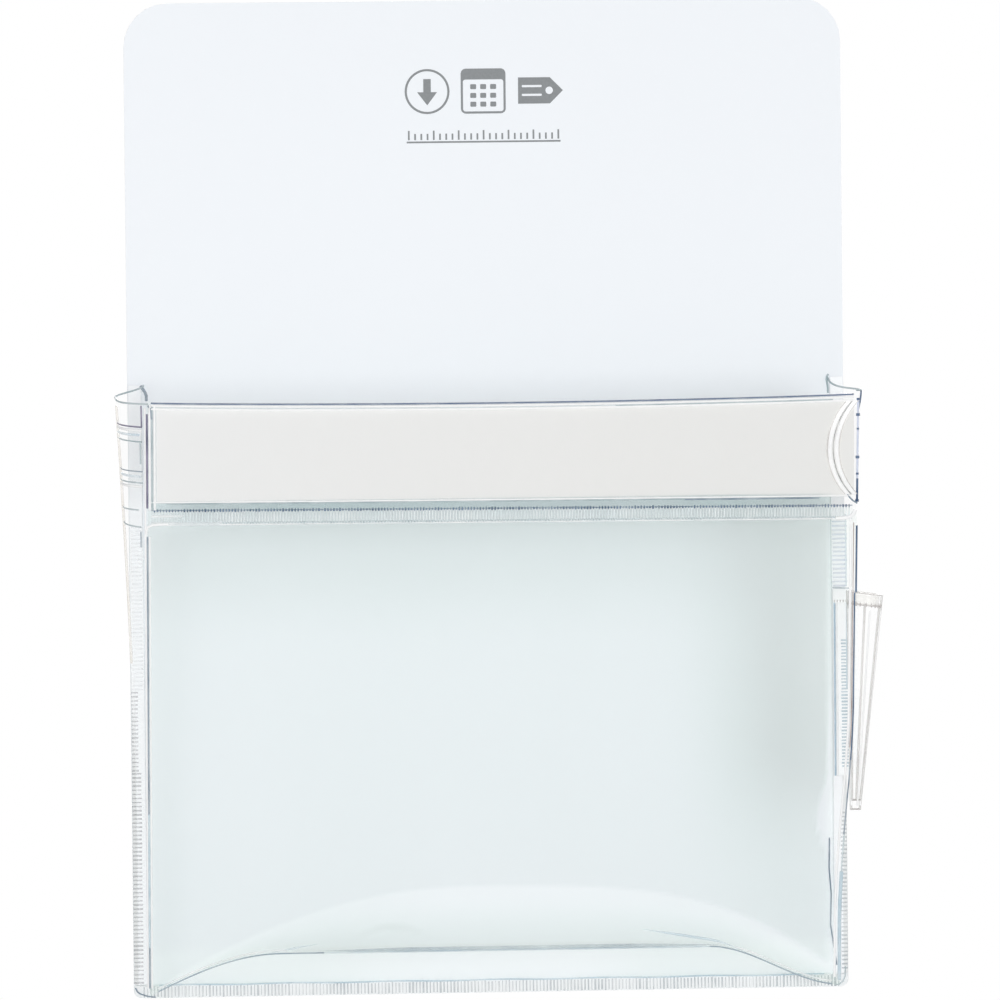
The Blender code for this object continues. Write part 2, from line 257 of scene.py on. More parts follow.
class Finish:
    """A material with one Principled shader, and the nodes that feed it."""

    def __init__(self, name, colour, roughness, **constants):
        self.material = bpy.data.materials.new(name)
        self.material.use_nodes = True
        self.tree = self.material.node_tree
        self.shader = self.tree.nodes["Principled BSDF"]
        self.set("Base Color", (*colour, 1.0))
        self.set("Roughness", roughness)
        for socket, value in constants.items():
            self.set(socket.replace("_", " "), value)

    def set(self, socket, value):
        if isinstance(value, Wire):
            self.tree.links.new(value.socket, self.shader.inputs[socket])
        else:
            self.shader.inputs[socket].default_value = value

    def node(self, kind, settings=None, values=None):
        sockets = {name: getattr(value, "socket", value) for name, value in (values or {}).items()}
        return add_node(self.tree, f"ShaderNode{kind}", settings, sockets)

    def output(self, made, name=0):
        return Wire(self, made.outputs[name])

    def place(self):
        """Object coordinates."""
        return self.output(self.node("TexCoord"), "Object")

    def spot(self):
        """x, depth, and height above the sheet's bottom edge."""
        split = self.node("SeparateXYZ", values={"Vector": self.place()})
        return self.output(split, "X"), self.output(split, "Y"), self.output(split, "Z") - BASE

    def noise(self, scale, detail=3.0, stretch=(1, 1, 1)):
        """Noise from 0 to 1 at this many cells a metre, stretched by direction."""
        moved = self.node("Mapping", values={"Vector": self.place(), "Scale": stretch})
        made = self.node("TexNoise", values={"Vector": self.output(moved), "Scale": scale, "Detail": detail})
        return self.output(made, "Fac")

    def attribute(self, name):
        """A number painted on the piece's points."""
        return self.output(self.node("Attribute", {"attribute_name": name}), "Fac")

    def tint(self, share, first, second):
        """Base Color between two colours by share."""
        made = self.node("Mix", {"data_type": "RGBA"}, {"Factor": share, 6: (*first, 1.0), 7: (*second, 1.0)})
        self.set("Base Color", self.output(made, 2))

    def wash(self, share, colour):
        """One more colour over Base Color, by share."""
        below = self.shader.inputs["Base Color"].links[0].from_socket
        made = self.node("Mix", {"data_type": "RGBA"}, {"Factor": share, 6: below, 7: (*colour, 1.0)})
        self.set("Base Color", self.output(made, 2))

    def bump(self, height, strength, distance):
        made = self.node("Bump", values={"Height": height, "Strength": strength, "Distance": distance})
        self.set("Normal", self.output(made, "Normal"))

    def cover(self, share, shader):
        """Another shader over the material's own, by share."""
        over = self.node("MixShader", values={0: share, 1: self.shader.outputs[0], 2: shader.outputs[0]})
        self.tree.links.new(over.outputs[0], self.tree.nodes["Material Output"].inputs["Surface"])

    def facing(self, blend):
        """0 face on and 1 edge on, for film and gloss."""
        return self.output(self.node("LayerWeight", values={"Blend": blend}), "Facing")


def sheet_finish():
    """Bluish white plastic, paler where the pocket's folds, foot and glare throw light on it."""
    made = Finish("sheet_plastic", (0.87, 0.91, 0.945), 0.42, Specular_IOR_Level=0.4)
    made.tint(made.noise(9, 2), (0.868, 0.900, 0.938), (0.892, 0.922, 0.958))
    across, depth, height = made.spot()
    beside = across.ramp(-110 * MM, -111 * MM) + across.ramp(106.5 * MM, 110.5 * MM)
    below_rim = height.ramp(RIM_HEIGHT, RIM_HEIGHT - 2 * MM)
    at_foot = height.ramp(17 * MM, 13 * MM)
    fall = ((GLARE_MIDDLE - across) * (1 / GLARE_LEFT)).clamped(0, 2) ** GLARE_LEFT_POWER
    fall = fall + ((across - GLARE_MIDDLE) * (1 / GLARE_RIGHT)).clamped(0, 2) ** GLARE_RIGHT_POWER
    in_glare = (GLARE_TOP - GLARE_DROP * fall - height).ramp(0, 2 * MM)
    in_front = across.math("LESS_THAN", depth, (SHEET_LOW.y + SHEET_HIGH.y) / 2)
    lit = (beside * below_rim + 0.5 * at_foot + 0.5 * in_glare).clamped(0, 1)
    made.wash(in_front * lit, (0.94, 0.985, 1.0))
    made.set("Roughness", 0.36 + 0.14 * made.noise(420, 2))
    made.bump(made.noise(2600, 2), 0.12, 0.05 * MM)
    return made.material


def film_finish(name, colour, thin, gloss, shaded_colour=None, depth=0.0, haze=0.04):
    """Clear film: see-through face on and glossy edge on. Where painted shading is set on its points, it
    turns towards the shaded colour and grows denser as painted shade, and turns clearer as painted light
    below zero.
    """
    made = Finish(name, colour, 0.1, IOR=1.53)
    alpha = thin + haze * (made.noise(16, 3, (1, 1, 0.6)) - 0.5)
    if shaded_colour:
        painted_shading = made.attribute("painted_shading")
        made.tint(painted_shading.clamped(0, 1), colour, shaded_colour)
        alpha = alpha + depth * painted_shading
    made.set("Alpha", alpha.clamped(0.0, 1.0))
    made.set("Roughness", 0.08 + 0.12 * made.noise(60, 2))
    made.bump(made.noise(38, 2, (1, 1, 0.5)), 0.25, 0.4 * MM)
    white = made.node("BsdfAnisotropic", values={"Color": (1, 1, 1, 1), "Roughness": 0.12})
    made.cover(gloss * made.facing(0.5) ** 2.0, white)
    return made.material


def line_finish(name, first, second, alpha=0.9, cells=120):
    """A bend or cut edge of film, which gathers light or shade unevenly along its length."""
    made = Finish(name, first, 0.2)
    patch = ((made.noise(cells, 2) - 0.5) * 3.0 + 0.5).clamped(0, 1)
    made.tint(patch, first, second)
    made.set("Alpha", (alpha - 0.25 + 0.5 * made.noise(1.7 * cells, 2)).clamped(0.05, 1.0))
    return made.material


def weld_finish(name, colour, other, low=None):
    """Film fused to the sheet, so not see-through. Its outer part turns to the colour low further down."""
    made = Finish(name, colour, 0.3, Coat_Roughness=0.15)
    made.tint(made.noise(300, 2), colour, other)
    if low:
        across, _, height = made.spot()
        outer = across.math("ABSOLUTE", across).ramp(SIDE_WELD_OUTER, SIDE_WELD_OUTER + 0.5 * MM)
        made.wash(outer * height.ramp(*SIDE_WELD_FADE), low)
    made.set("Coat Weight", 0.3 + 0.3 * made.noise(90, 1))
    return made.material


def card_finish():
    made = Finish("label_card", (0.85, 0.85, 0.838), 0.8, Specular_IOR_Level=0.25)
    fibre = made.noise(900, 4, (0.4, 1, 1))
    made.tint(fibre, (0.850, 0.852, 0.848), (0.874, 0.876, 0.872))
    # Painted shade: the card turns darker towards its right end, as if the lamp fell from the left.
    made.wash(made.spot()[0].ramp(CARD_LOW.x, CARD_HIGH.x) ** 0.7, (0.828, 0.827, 0.812))
    made.bump(fibre, 0.2, 0.04 * MM)
    return made.material


def magnet_finish():
    made = Finish("magnet_rubber", (0.03, 0.028, 0.027), 0.6)
    grain = made.noise(1500, 4)
    made.tint(made.noise(60, 3), (0.024, 0.022, 0.021), (0.045, 0.041, 0.038))
    made.set("Roughness", 0.5 + 0.25 * grain)
    made.bump(grain, 0.35, 0.06 * MM)
    return made.material


def tape_finish():
    made = Finish("adhesive_tape", (0.72, 0.69, 0.60), 0.7)
    made.tint(made.noise(500, 3), (0.68, 0.65, 0.56), (0.77, 0.74, 0.66))
    made.bump(made.noise(1800, 2), 0.3, 0.05 * MM)
    return made.material


def ink_finish():
    made = Finish("printed_grey", (0.20, 0.215, 0.225), 0.5)
    made.tint(made.noise(1200, 3), (0.19, 0.205, 0.215), (0.26, 0.275, 0.285))
    made.bump(made.noise(2600, 2), 0.1, 0.03 * MM)
    return made.material


# Mesh building.


def raised(point):
    """From heights above the sheet's bottom edge to the frame."""
    return Vector(point) + Vector((0, 0, BASE))


def add_object(name, data):
    made = bpy.data.objects.new(name, data)
    bpy.context.scene.collection.objects.link(made)
    return made


def dress(mesh, finish):
    mesh.materials.clear()
    mesh.materials.append(finish)


def link(name, mesh, finish, body=None, smooth_angle=40):
    made = add_object(name, mesh)
    dress(mesh, finish)
    mesh.shade_smooth()
    mesh.set_sharp_from_angle(angle=math.radians(smooth_angle))
    if body:
        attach(made, body)
    return made


def evaluated_mesh(made):
    """The object's mesh with its modifiers applied. The object itself is removed."""
    graph = bpy.context.evaluated_depsgraph_get()
    mesh = bpy.data.meshes.new_from_object(made.evaluated_get(graph))
    mesh.transform(made.matrix_world)
    bpy.data.objects.remove(made, do_unlink=True)
    return mesh


def merged(mesh):
    """The mesh with its double points joined and its faces turned outward."""
    cage = bmesh.new()
    cage.from_mesh(mesh)
    bmesh.ops.remove_doubles(cage, verts=cage.verts, dist=MM / 1000)
    bmesh.ops.recalc_face_normals(cage, faces=cage.faces)
    cage.to_mesh(mesh)
    cage.free()
    return mesh


def film_mesh(name, columns, rows, place, thickness=FILM, closed=False, painted_shading=None, rim_only=True):
    """A film on place(u, v), at columns and rows of u and v. painted_shading(u, v) paints painted light and
    shade on its points.

    With rim_only its face is one clear layer, and its cut edges show its thickness.
    """
    mesh = bpy.data.meshes.new(name)
    cage = bmesh.new()
    paint = cage.verts.layers.float.new("painted_shading") if painted_shading else None
    grid = []
    for v in rows:
        grid.append([cage.verts.new(raised(place(u, v))) for u in columns])
        if painted_shading:
            for u, vertex in zip(columns, grid[-1]):
                vertex[paint] = painted_shading(u, v)
    for low, high in zip(grid, grid[1:]):
        for i in range(len(columns) - 1):
            cage.faces.new((low[i], low[i + 1], high[i + 1], high[i]))
    if closed:
        bmesh.ops.remove_doubles(cage, verts=cage.verts, dist=MM / 1000)
    bmesh.ops.recalc_face_normals(cage, faces=cage.faces)
    cage.to_mesh(mesh)
    cage.free()
    flat = add_object(name, mesh)
    shell = flat.modifiers.new("Film", "SOLIDIFY")
    shell.thickness = thickness
    shell.offset = 0
    shell.use_rim_only = rim_only
    return evaluated_mesh(flat)


def steps(count):
    return [i / count for i in range(count + 1)]


def bead_mesh(paths, radius, taper=0):
    """Thin round beads along the paths, as one mesh, which may run out over taper points at each end."""
    curve = bpy.data.curves.new("bead", "CURVE")
    curve.dimensions = "3D"
    curve.bevel_depth = radius
    curve.bevel_resolution = 2
    curve.use_fill_caps = True
    for path in paths:
        spline = curve.splines.new("POLY")
        spline.points.add(len(path) - 1)
        for i, (point, place) in enumerate(zip(spline.points, path)):
            point.co = (*raised(place), 1)
            if taper:
                point.radius = min(1, (min(i, len(path) - 1 - i) + 0.3) / taper)
    return merged(evaluated_mesh(add_object("bead", curve)))


def line_maker(finishes, body, slot):
    """A function that adds beads; slot is not used. Their radius is in millimetres, and they throw no shadow.
    """

    def line(name, paths, radius, finish, taper=0):
        made = link(name, bead_mesh(paths, radius * MM, taper), finishes[finish], body)
        made.visible_shadow = False

    return line


def flat_mesh(outlines, thickness, place):
    """Filled upright shapes, from outlines in millimetres across and up from a place."""
    curve = bpy.data.curves.new("flat", "CURVE")
    curve.dimensions = "2D"
    curve.fill_mode = "BOTH"
    curve.extrude = thickness / 2
    for outline in outlines:
        spline = curve.splines.new("POLY")
        spline.points.add(len(outline) - 1)
        for point, (x, height) in zip(spline.points, outline):
            point.co = (x * MM, height * MM, 0, 1)
        spline.use_cyclic_u = True
    mesh = evaluated_mesh(add_object("flat", curve))
    mesh.transform(Matrix.Translation(raised(place)) @ Matrix.Rotation(math.pi / 2, 4, "X"))
    return merged(mesh)


# Ribs on the welded seams, by Geometry Nodes.


def rib_tree():
    """A row of round-backed bars along X, each standing along Z, of uneven width and length."""
    tree = bpy.data.node_groups.new("weld_ribs", "GeometryNodeTree")
    face = tree.interface
    face.new_socket("Geometry", in_out="OUTPUT", socket_type="NodeSocketGeometry")
    for name, kind in (("Count", "Int"), ("Pitch", "Float"), ("Size", "Vector"), ("Least", "Vector"),
                       ("Seed", "Int"), ("Finish", "Material")):
        face.new_socket(name, in_out="INPUT", socket_type=f"NodeSocket{kind}")

    sizes = tree.nodes.new("NodeGroupInput").outputs
    step = add_node(tree, "ShaderNodeCombineXYZ", values={"X": sizes["Pitch"]})
    row = add_node(tree, "GeometryNodeMeshLine", values={"Count": sizes["Count"], "Offset": step.outputs[0]})
    bar = add_node(tree, "GeometryNodeMeshCylinder", values={"Vertices": 8, "Radius": 0.5, "Depth": 1.0})
    uneven = add_node(tree, "FunctionNodeRandomValue", {"data_type": "FLOAT_VECTOR"},
                      {"Min": sizes["Least"], "Max": sizes["Size"], "Seed": sizes["Seed"]})
    put = add_node(tree, "GeometryNodeInstanceOnPoints", values={
        "Points": row.outputs["Mesh"], "Instance": bar.outputs["Mesh"], "Scale": uneven.outputs[0]})
    real = add_node(tree, "GeometryNodeRealizeInstances", values={"Geometry": put.outputs["Instances"]})
    finish = add_node(tree, "GeometryNodeSetMaterial",
                      values={"Geometry": real.outputs[0], "Material": sizes["Finish"]})
    add_node(tree, "NodeGroupOutput", values={0: finish.outputs[0]})
    return tree


def rib_row(name, tree, run, pitch, size, place, finish, body, slot, least=(0.6, 1, 0.85)):
    """Ribs of size (width, height, length) along a run from the origin to +X, moved by the matrix place."""
    holder = add_object(name, bpy.data.meshes.new(name))
    count = max(2, round(run / pitch))
    values = {"Count": count, "Pitch": run / (count - 1), "Size": size,
              "Least": [a * b for a, b in zip(size, least)], "Seed": len(name), "Finish": finish}
    modifier = holder.modifiers.new("Ribs", "NODES")
    modifier.node_group = tree
    for socket in tree.interface.items_tree:
        if socket.in_out == "INPUT":
            modifier[socket.identifier] = values[socket.name]
    mesh = evaluated_mesh(holder)
    mesh.transform(place)
    link(name, mesh, finish, body)


# The pocket's surfaces, as in the frame.


def front_side(height, side):
    """x of the front panel's left (-1) or right (1) fold at this height."""
    if side < 0:
        return LEFT_MARGIN - SHEET_HALF
    swell = fade(height, RIGHT_SWELL_START, RIGHT_SWELL_END - RIGHT_SWELL_START)
    rise = max(0, height - RIGHT_SWELL_END) / (RIM_HEIGHT - RIGHT_SWELL_END)
    margin = lerp(RIGHT_MARGIN_BOTTOM, RIGHT_MARGIN_MIDDLE, swell)
    return SHEET_HALF - margin - (RIGHT_MARGIN_TOP - RIGHT_MARGIN_MIDDLE) * rise


def front_depth(height):
    return lerp(BASE_DEPTH, MOUTH_DEPTH, height / RIM_HEIGHT)


def sag(x, height, most=RIM_SAG):
    """How far the slack rim hangs down between its ends. It fades out below the label."""
    across = (x - front_side(RIM_HEIGHT, -1)) / (front_side(RIM_HEIGHT, 1) - front_side(RIM_HEIGHT, -1))
    return most * hump(across) ** 0.7 * fade(height, LABEL_FOOT, RIM_HEIGHT - LABEL_FOOT)


def on_front(x, reach, out):
    """A point of the front panel: reach runs up it from the bottom, and out stands off its face."""
    reach -= sag(x, reach * FRONT_RISE)
    return Vector((x, SHEET_FRONT - BASE_DEPTH, 0)) + reach * FRONT_UP + out * FRONT_OUT


def crease_height(u):
    edge = min(1, min(u, 1 - u) * (front_side(0, 1) - front_side(0, -1)) / CREASE_RAMP)
    share = math.sin(math.pi / 2 * edge) if u < 0.5 else smooth(edge)
    return lerp(CREASE_CORNER_HEIGHT, CREASE_MIDDLE_HEIGHT, share)


def panel_point(u, height, out=0.0):
    """The front panel above its crease, with the slight belly of soft film below the label."""
    crease = crease_height(u)
    belly = PANEL_BULGE * math.sqrt(hump(u)) * hump((height - crease) / (LABEL_FOOT - crease))
    x = lerp(front_side(height, -1), front_side(height, 1), u)
    foot = Vector((x, SHEET_FRONT - front_depth(height), height))
    return foot + (belly + out) * FRONT_OUT - sag(x, height) * FRONT_UP


def front_point(u, v):
    """v below 0 is the part turned back to the bottom seam, v above 0 the panel."""
    crease = crease_height(u)
    if v >= 0:
        return panel_point(u, lerp(crease, RIM_HEIGHT, v))
    start = panel_point(u, crease)
    return start.lerp(Vector((start.x, SHEET_FRONT - SEAM_DEPTH, SEAM_HEIGHT)), -v)


def gusset_bulge(height, side):
    if side < 0:
        return lerp(LEFT_BULGE_BOTTOM, LEFT_BULGE_TOP, (height / RIM_HEIGHT) ** 2)
    ramp = fade(height, RIM_HEIGHT - RIGHT_BULGE_RAMP, RIGHT_BULGE_RAMP)
    return lerp(RIGHT_BULGE_BESIDE_SLEEVE, RIGHT_BULGE_TOP, ramp)


def gusset_bend(u):
    """Share of the bulge between the weld (0) and the front fold (1), fullest towards the fold."""
    if u < 0.5:
        return smooth(2 * u)
    return 1 - (2 * u - 1) ** GUSSET_FULLNESS


def gusset_at(side, u, height):
    """One gusset at this height: u runs from the weld to the front fold."""
    below_rim = min(height, RIM_HEIGHT)
    end = SHEET_FRONT - front_depth(below_rim) + FILM * 0.75 + GAP
    fold = abs(front_side(below_rim, side)) - FILM
    x = lerp(GUSSET_ROOT, fold, smooth(u)) + gusset_bulge(height, side) * gusset_bend(u)
    return Vector((side * x, lerp(SHEET_FRONT - GAP, end, u), height))


def gusset_rise(side, u):
    """How far a gusset's top edge stands above the rim's height."""
    if side < 0:
        return GUSSET_BACK_RISE * (1 - u) ** 1.5
    return lerp(RIGHT_FRONT_RISE, GUSSET_BACK_RISE, (1 - u) ** 6)


def gusset_point(side):
    """One gusset from its bottom (v 0) to its top edge, which rises towards the sheet."""

    def place(u, v):
        low = lerp(SEAM_HEIGHT, CREASE_CORNER_HEIGHT, u) + FILM + GAP
        return gusset_at(side, u, lerp(low, RIM_HEIGHT + gusset_rise(side, u), v))

    return place


def window_right(reach):
    """x of the label window's right end, drawn in by the thumb notch."""
    end = front_side(reach * FRONT_RISE, 1) - WINDOW_RIGHT_MARGIN
    radius = (NOTCH_HEIGHT**2 / 4 + NOTCH_DEPTH**2) / (2 * NOTCH_DEPTH)
    from_middle = reach - (RIM_REACH - CARD_TOP_MARGIN - CARD_HEIGHT / 2)
    if abs(from_middle) >= NOTCH_HEIGHT / 2:
        return end
    return end - (math.sqrt(radius**2 - from_middle**2) - (radius - NOTCH_DEPTH))


WINDOW_LEFT = front_side(RIM_HEIGHT, -1) + WINDOW_LEFT_MARGIN


def sleeve_section(height):
    """Centre and half sizes of the pen sleeve's outer oval at this height."""
    t = (height - (SLEEVE_MOUTH_HEIGHT - SLEEVE_LENGTH)) / SLEEVE_LENGTH
    width = lerp(SLEEVE_TIP_WIDTH, SLEEVE_MOUTH_WIDTH, t)
    depth = lerp(SLEEVE_TIP_DEPTH, SLEEVE_MOUTH_DEPTH, t)
    left = SHEET_HALF + SLEEVE_LEAN * (1 - t)
    return left + width / 2, SLEEVE_BACK - depth / 2, width / 2, depth / 2


def sleeve_point(low, high, inset):
    """The sleeve's wall between two heights, inset from its outer oval. The mouth slants."""

    def place(u, v):
        height = lerp(low, high, v)
        x, y, half_width, half_depth = sleeve_section(height)
        across, along = math.cos(2 * math.pi * u), math.sin(2 * math.pi * u)
        power = 2 / SLEEVE_ROUNDNESS
        x += math.copysign(abs(across) ** power, across) * (half_width - inset)
        y += math.copysign(abs(along) ** power, along) * (half_depth - inset)
        fall = SLEEVE_MOUTH_SLANT * (x - SHEET_HALF) / SLEEVE_MOUTH_WIDTH - SLEEVE_MOUTH_SLANT / 2
        rise = (height - SLEEVE_MOUTH_HEIGHT + SLEEVE_LENGTH) / SLEEVE_LENGTH
        return Vector((x, y, height - fall * rise**2))

    return place


# Pieces.


def dress_frame_nodes(finishes):
    worn = {"back_sheet": "back", "bottom_flange": "weld",
            "left_flange": "side_weld", "right_flange": "side_weld"}
    for kind in ("magnet", "tape"):
        worn.update({f"{kind}_{place}": kind for place in ("top", "middle", "bottom")})
    for node, finish in worn.items():
        dress(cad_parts[node].data, finishes[finish])


def circle(x, height, radius, count=40):
    turn = [2 * math.pi * i / count for i in range(count)]
    return [(x + radius * math.cos(a), height + radius * math.sin(a)) for a in turn]


def block(x, height, width, tall, radius=0.0):
    """A rectangle round its centre, with rounded corners."""
    outline = []
    for corner in range(4):
        side_x = 1 if corner in (0, 3) else -1
        side_y = 1 if corner in (0, 1) else -1
        for step in range(5):
            angle = math.pi / 2 * (corner + step / 4)
            outline.append((x + side_x * (width / 2 - radius) + radius * math.cos(angle),
                            height + side_y * (tall / 2 - radius) + radius * math.sin(angle)))
    return outline


def add_print(finish):
    """Small grey signs on the sheet: an arrow in a ring, a month's grid, a tag and a ruled scale."""
    ring = [circle(-18, 0, 7.2), circle(-18, 0, 6.5)]
    arrow = [(-19.2, 4), (-16.8, 4), (-16.8, -0.2), (-14.8, -0.2), (-18, -4.4), (-21.2, -0.2), (-19.2, -0.2)]
    grid = [block(0, 0, 14.4, 14.4, 1.6), block(0, -1.4, 13, 10.2, 0.8)]
    grid += [block(3.2 * i, 1.4 - 2.8 * j, 1.9, 1.6, 0.3) for i in (-1, 0, 1) for j in (0, 1, 2)]
    tag = [[(11.2, 4.2), (21.4, 4.2), (25.6, 0), (21.4, -4.2), (11.2, -4.2)], circle(21.2, 0, 1.2)]
    tag += [block(15.6, side, 6.4, 0.7, 0.2) for side in (1.4, -1.4)]
    ticks = [block(2 * i - 24, -14 if i % 4 == 0 else -14.5, 0.55, 3 if i % 4 == 0 else 2) for i in range(25)]
    rule = block(0, -16.2, 49.4, 0.55)
    place = (0, SHEET_FRONT - 0.02 * MM, 289 * MM)
    mesh = bpy.data.meshes.new("printed_signs")
    cage = bmesh.new()
    for shapes in (ring, [arrow], grid, tag, *[[tick] for tick in ticks], [rule]):
        cage.from_mesh(flat_mesh(shapes, 0.04 * MM, place))
    cage.to_mesh(mesh)
    cage.free()
    link("printed_signs", mesh, finish, "back")


def glare_height(x):
    """How high the glare stands at this x."""
    if x < GLARE_MIDDLE:
        return GLARE_TOP - GLARE_DROP * ((GLARE_MIDDLE - x) / GLARE_LEFT) ** GLARE_LEFT_POWER
    return GLARE_TOP - GLARE_DROP * ((x - GLARE_MIDDLE) / GLARE_RIGHT) ** GLARE_RIGHT_POWER


def panel_painted_shading(u, v):
    """The front film's painted shading, which deepens its tint and density: painted shade by the folds, under
    the label and above the crease, and painted light on the part turned back to the seam, at the right
    margin, in a patch low by the right fold and in the glare.
    """
    if v < 0:
        return lerp(-0.35, -0.05, fade(abs(u - 0.5), 0.1, 0.2))
    place = front_point(u, v)
    x, height = place.x, place.z
    beside_fold = 1.3 * fade(x, 55 * MM, 48 * MM) * lerp(0.3, 1, fade(height, 35 * MM, 50 * MM))
    beside_fold *= 1 - 0.4 * fade(height, 110 * MM, 35 * MM)
    right = lerp(beside_fold, -0.45, fade(x, 105.5 * MM, 3.5 * MM))
    bright_from = 106.2 * MM - 3.6 * MM * hump((height - 44 * MM) / (24 * MM))
    right -= 1.3 * fade(x, bright_from, 1.8 * MM) * hump((height - 34 * MM) / (62 * MM)) ** 0.5
    left = 0.4 * (1 - fade(x, -109 * MM, 14 * MM))
    # Painted shadow of the label card on the film below it, ending just under the window.
    below_label = 0.75 * fade(height, WINDOW_FOOT - 42 * MM, 42 * MM)
    below_label *= 1 - fade(height, WINDOW_FOOT - 1 * MM, 2 * MM)
    crease, glare = crease_height(u), glare_height(x)
    depth = (glare - height) / max(glare - crease, 4 * MM)
    shade = 1.2 * hump((u - 0.2) / 0.66) ** 0.5 * (1 - fade(height, crease, 3 * MM))
    dimple = hump((x + 46 * MM) / (26 * MM))
    shade += 0.45 * dimple * hump((height - 17 * MM - 4 * MM * dimple) / (3.4 * MM))
    shade += 0.25 * (1 - fade(x, -60 * MM, 40 * MM))
    in_glare = lerp(-0.42, 0.5, smooth(depth)) + shade
    return lerp(right + left + below_label, in_glare, fade(glare - height, -0.8 * MM, 1.6 * MM))


def add_front(finishes):
    turn = [-1 + 0.1 * i for i in range(10)] + [-0.06, -0.03]
    climb = [0, 0.004, 0.009] + [0.014 + 0.006 * i for i in range(26)] + [0.17 + 0.83 * t for t in steps(44)]
    columns = [0.5 - 0.5 * math.cos(math.pi * t) for t in steps(110)]
    mesh = film_mesh("pocket_front", columns, turn + climb, front_point, painted_shading=panel_painted_shading)
    front = link("pocket_front", mesh, finishes["panel"], "front", smooth_angle=75)
    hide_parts("front_film")


def fold_path(side, low, high, shift=0.0, out=FILM / 2 / MM, count=30):
    """Along a side fold of the panel between two heights, moved in by shift. All are in millimetres."""
    u = 0.0 if side < 0 else 1.0
    return [panel_point(u, lerp(low, high, t) * MM, out * MM) - Vector((side * shift * MM, 0, 0))
            for t in steps(count)]


def crease_path(shares, rise=lambda u: 0.0):
    """Along the crease at these shares of its width, raised by rise(u) millimetres."""
    return [panel_point(u, crease_height(u) + rise(u) * MM, FILM / 2) for u in shares]


def add_front_lines(finishes):
    """Painted highlights and painted shade lines where the panel bends at its sides and foot."""
    line = line_maker(finishes, "front", "front_film")
    label_foot = LABEL_FOOT / MM
    line("left_fold_label", [fold_path(-1, 158, 188)], 0.32, "plum")
    line("left_fold", [fold_path(-1, 60, label_foot - 3), fold_path(-1, 4, 17)], 0.26, "slate")
    line("left_fold_middle", [fold_path(-1, 17, 60)], 0.3, "sky")
    beside_fold = [fold_path(-1, 4, label_foot - 3, 0.7), fold_path(-1, 4, 190, -0.62)]
    line("left_fold_light", beside_fold, 0.3, "gleam")
    pale_top, dark_top = 0.32, 0.46
    line("right_fold_label", [fold_path(1, 157, 190, out=pale_top - 0.36)], 0.36, "lavender")
    line("right_fold_end", [fold_path(1, 157, 164.5, out=dark_top - 0.38, count=8)], 0.38, "navy")
    drops = ((189.9, 0.5), (184.9, 0.62), (180.4, 0.4), (171.3, 0.62), (166.0, 0.45), (157.4, 0.6))
    for i, (height, size) in enumerate(drops):
        drop = panel_point(1.0, height * MM, (dark_top - size) * MM)
        shift = Vector((0, 0, 0.7 * size * MM))
        line(f"right_fold_drop_{i}", [[drop - shift, drop, drop + shift]], size, "navy")
    for name, low, high, shift, radius, finish in (
            ("right_fold", 128, label_foot - 2.4, 0, 0.32, "navy"),
            ("right_fold_lower", 97, 128, 0.45, 0.24, "navy"),
            ("right_fold_beside_sleeve", 74, 97, 0.45, 0.24, "navy"),
            ("right_fold_below_sleeve", 50, 74, 0.45, 0.22, "slate"),
            ("right_fold_rust", 78, label_foot - 1.5, 1.0, 0.14, "rust"),
            ("right_fold_mist", 36, 50, 0.3, 0.26, "mist")):
        line(name, [fold_path(1, low, high, shift)], radius, finish)
    line("right_fold_light", [fold_path(1, 36, label_foot, 1.9), fold_path(1, 4, 36, 1.7)], 0.4, "gleam")
    line("right_fold_foot", [fold_path(1, 3, 38, 0.2)], 0.6, "sky")
    run = [0.012 + 0.976 * t for t in steps(110)]
    middle = [u for u in run if 0.24 < u < 0.83]
    sides = [[u for u in run if u <= 0.26], [u for u in run if u >= 0.81]]
    line("foot_crease", [crease_path(side) for side in sides], 0.22, "crease")
    line("foot_crease_middle", [crease_path(middle)], 0.3, "ice", taper=5)
    line("foot_crease_band", [crease_path(middle, lambda u: 0.6)], 0.7, "shade", taper=14)
    ends = [[u for u in run if u < 0.2], [u for u in run if u > 0.84]]
    line("foot_crease_light", [crease_path(end, lambda u: 1.0) for end in ends], 0.3, "glint")
    left_wrinkle = crease_path([u for u in run if 0.165 < u < 0.25], lambda u: 38 * (u - 0.165))
    right_wrinkle = crease_path([u for u in run if 0.71 < u < 0.87], lambda u: 38 * (0.87 - u))
    line("foot_wrinkles", [left_wrinkle, right_wrinkle], 0.42, "ice", taper=6)


def chain(*places):
    """Strokes from each place to the next."""
    return [(*start, *end) for start, end in zip(places, places[1:])]


def flat_strokes(strokes, depth, count):
    """Straight paths at one depth, from x and height to x and height in millimetres."""
    return [[(lerp(x0, x1, t) * MM, depth, lerp(h0, h1, t) * MM) for t in steps(count)]
            for x0, h0, x1, h1 in strokes]


def gusset_piece(made, slot):
    """A piece of gusset film, which throws no shadow."""
    made.visible_shadow = False
    end = (0, SHEET_FRONT - front_depth(0), BASE)
    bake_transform(made)


def gusset_stroke(side, u0, h0, u1, h1, count=12):
    return [gusset_at(side, lerp(u0, u1, t), lerp(h0, h1, t) * MM) for t in steps(count)]


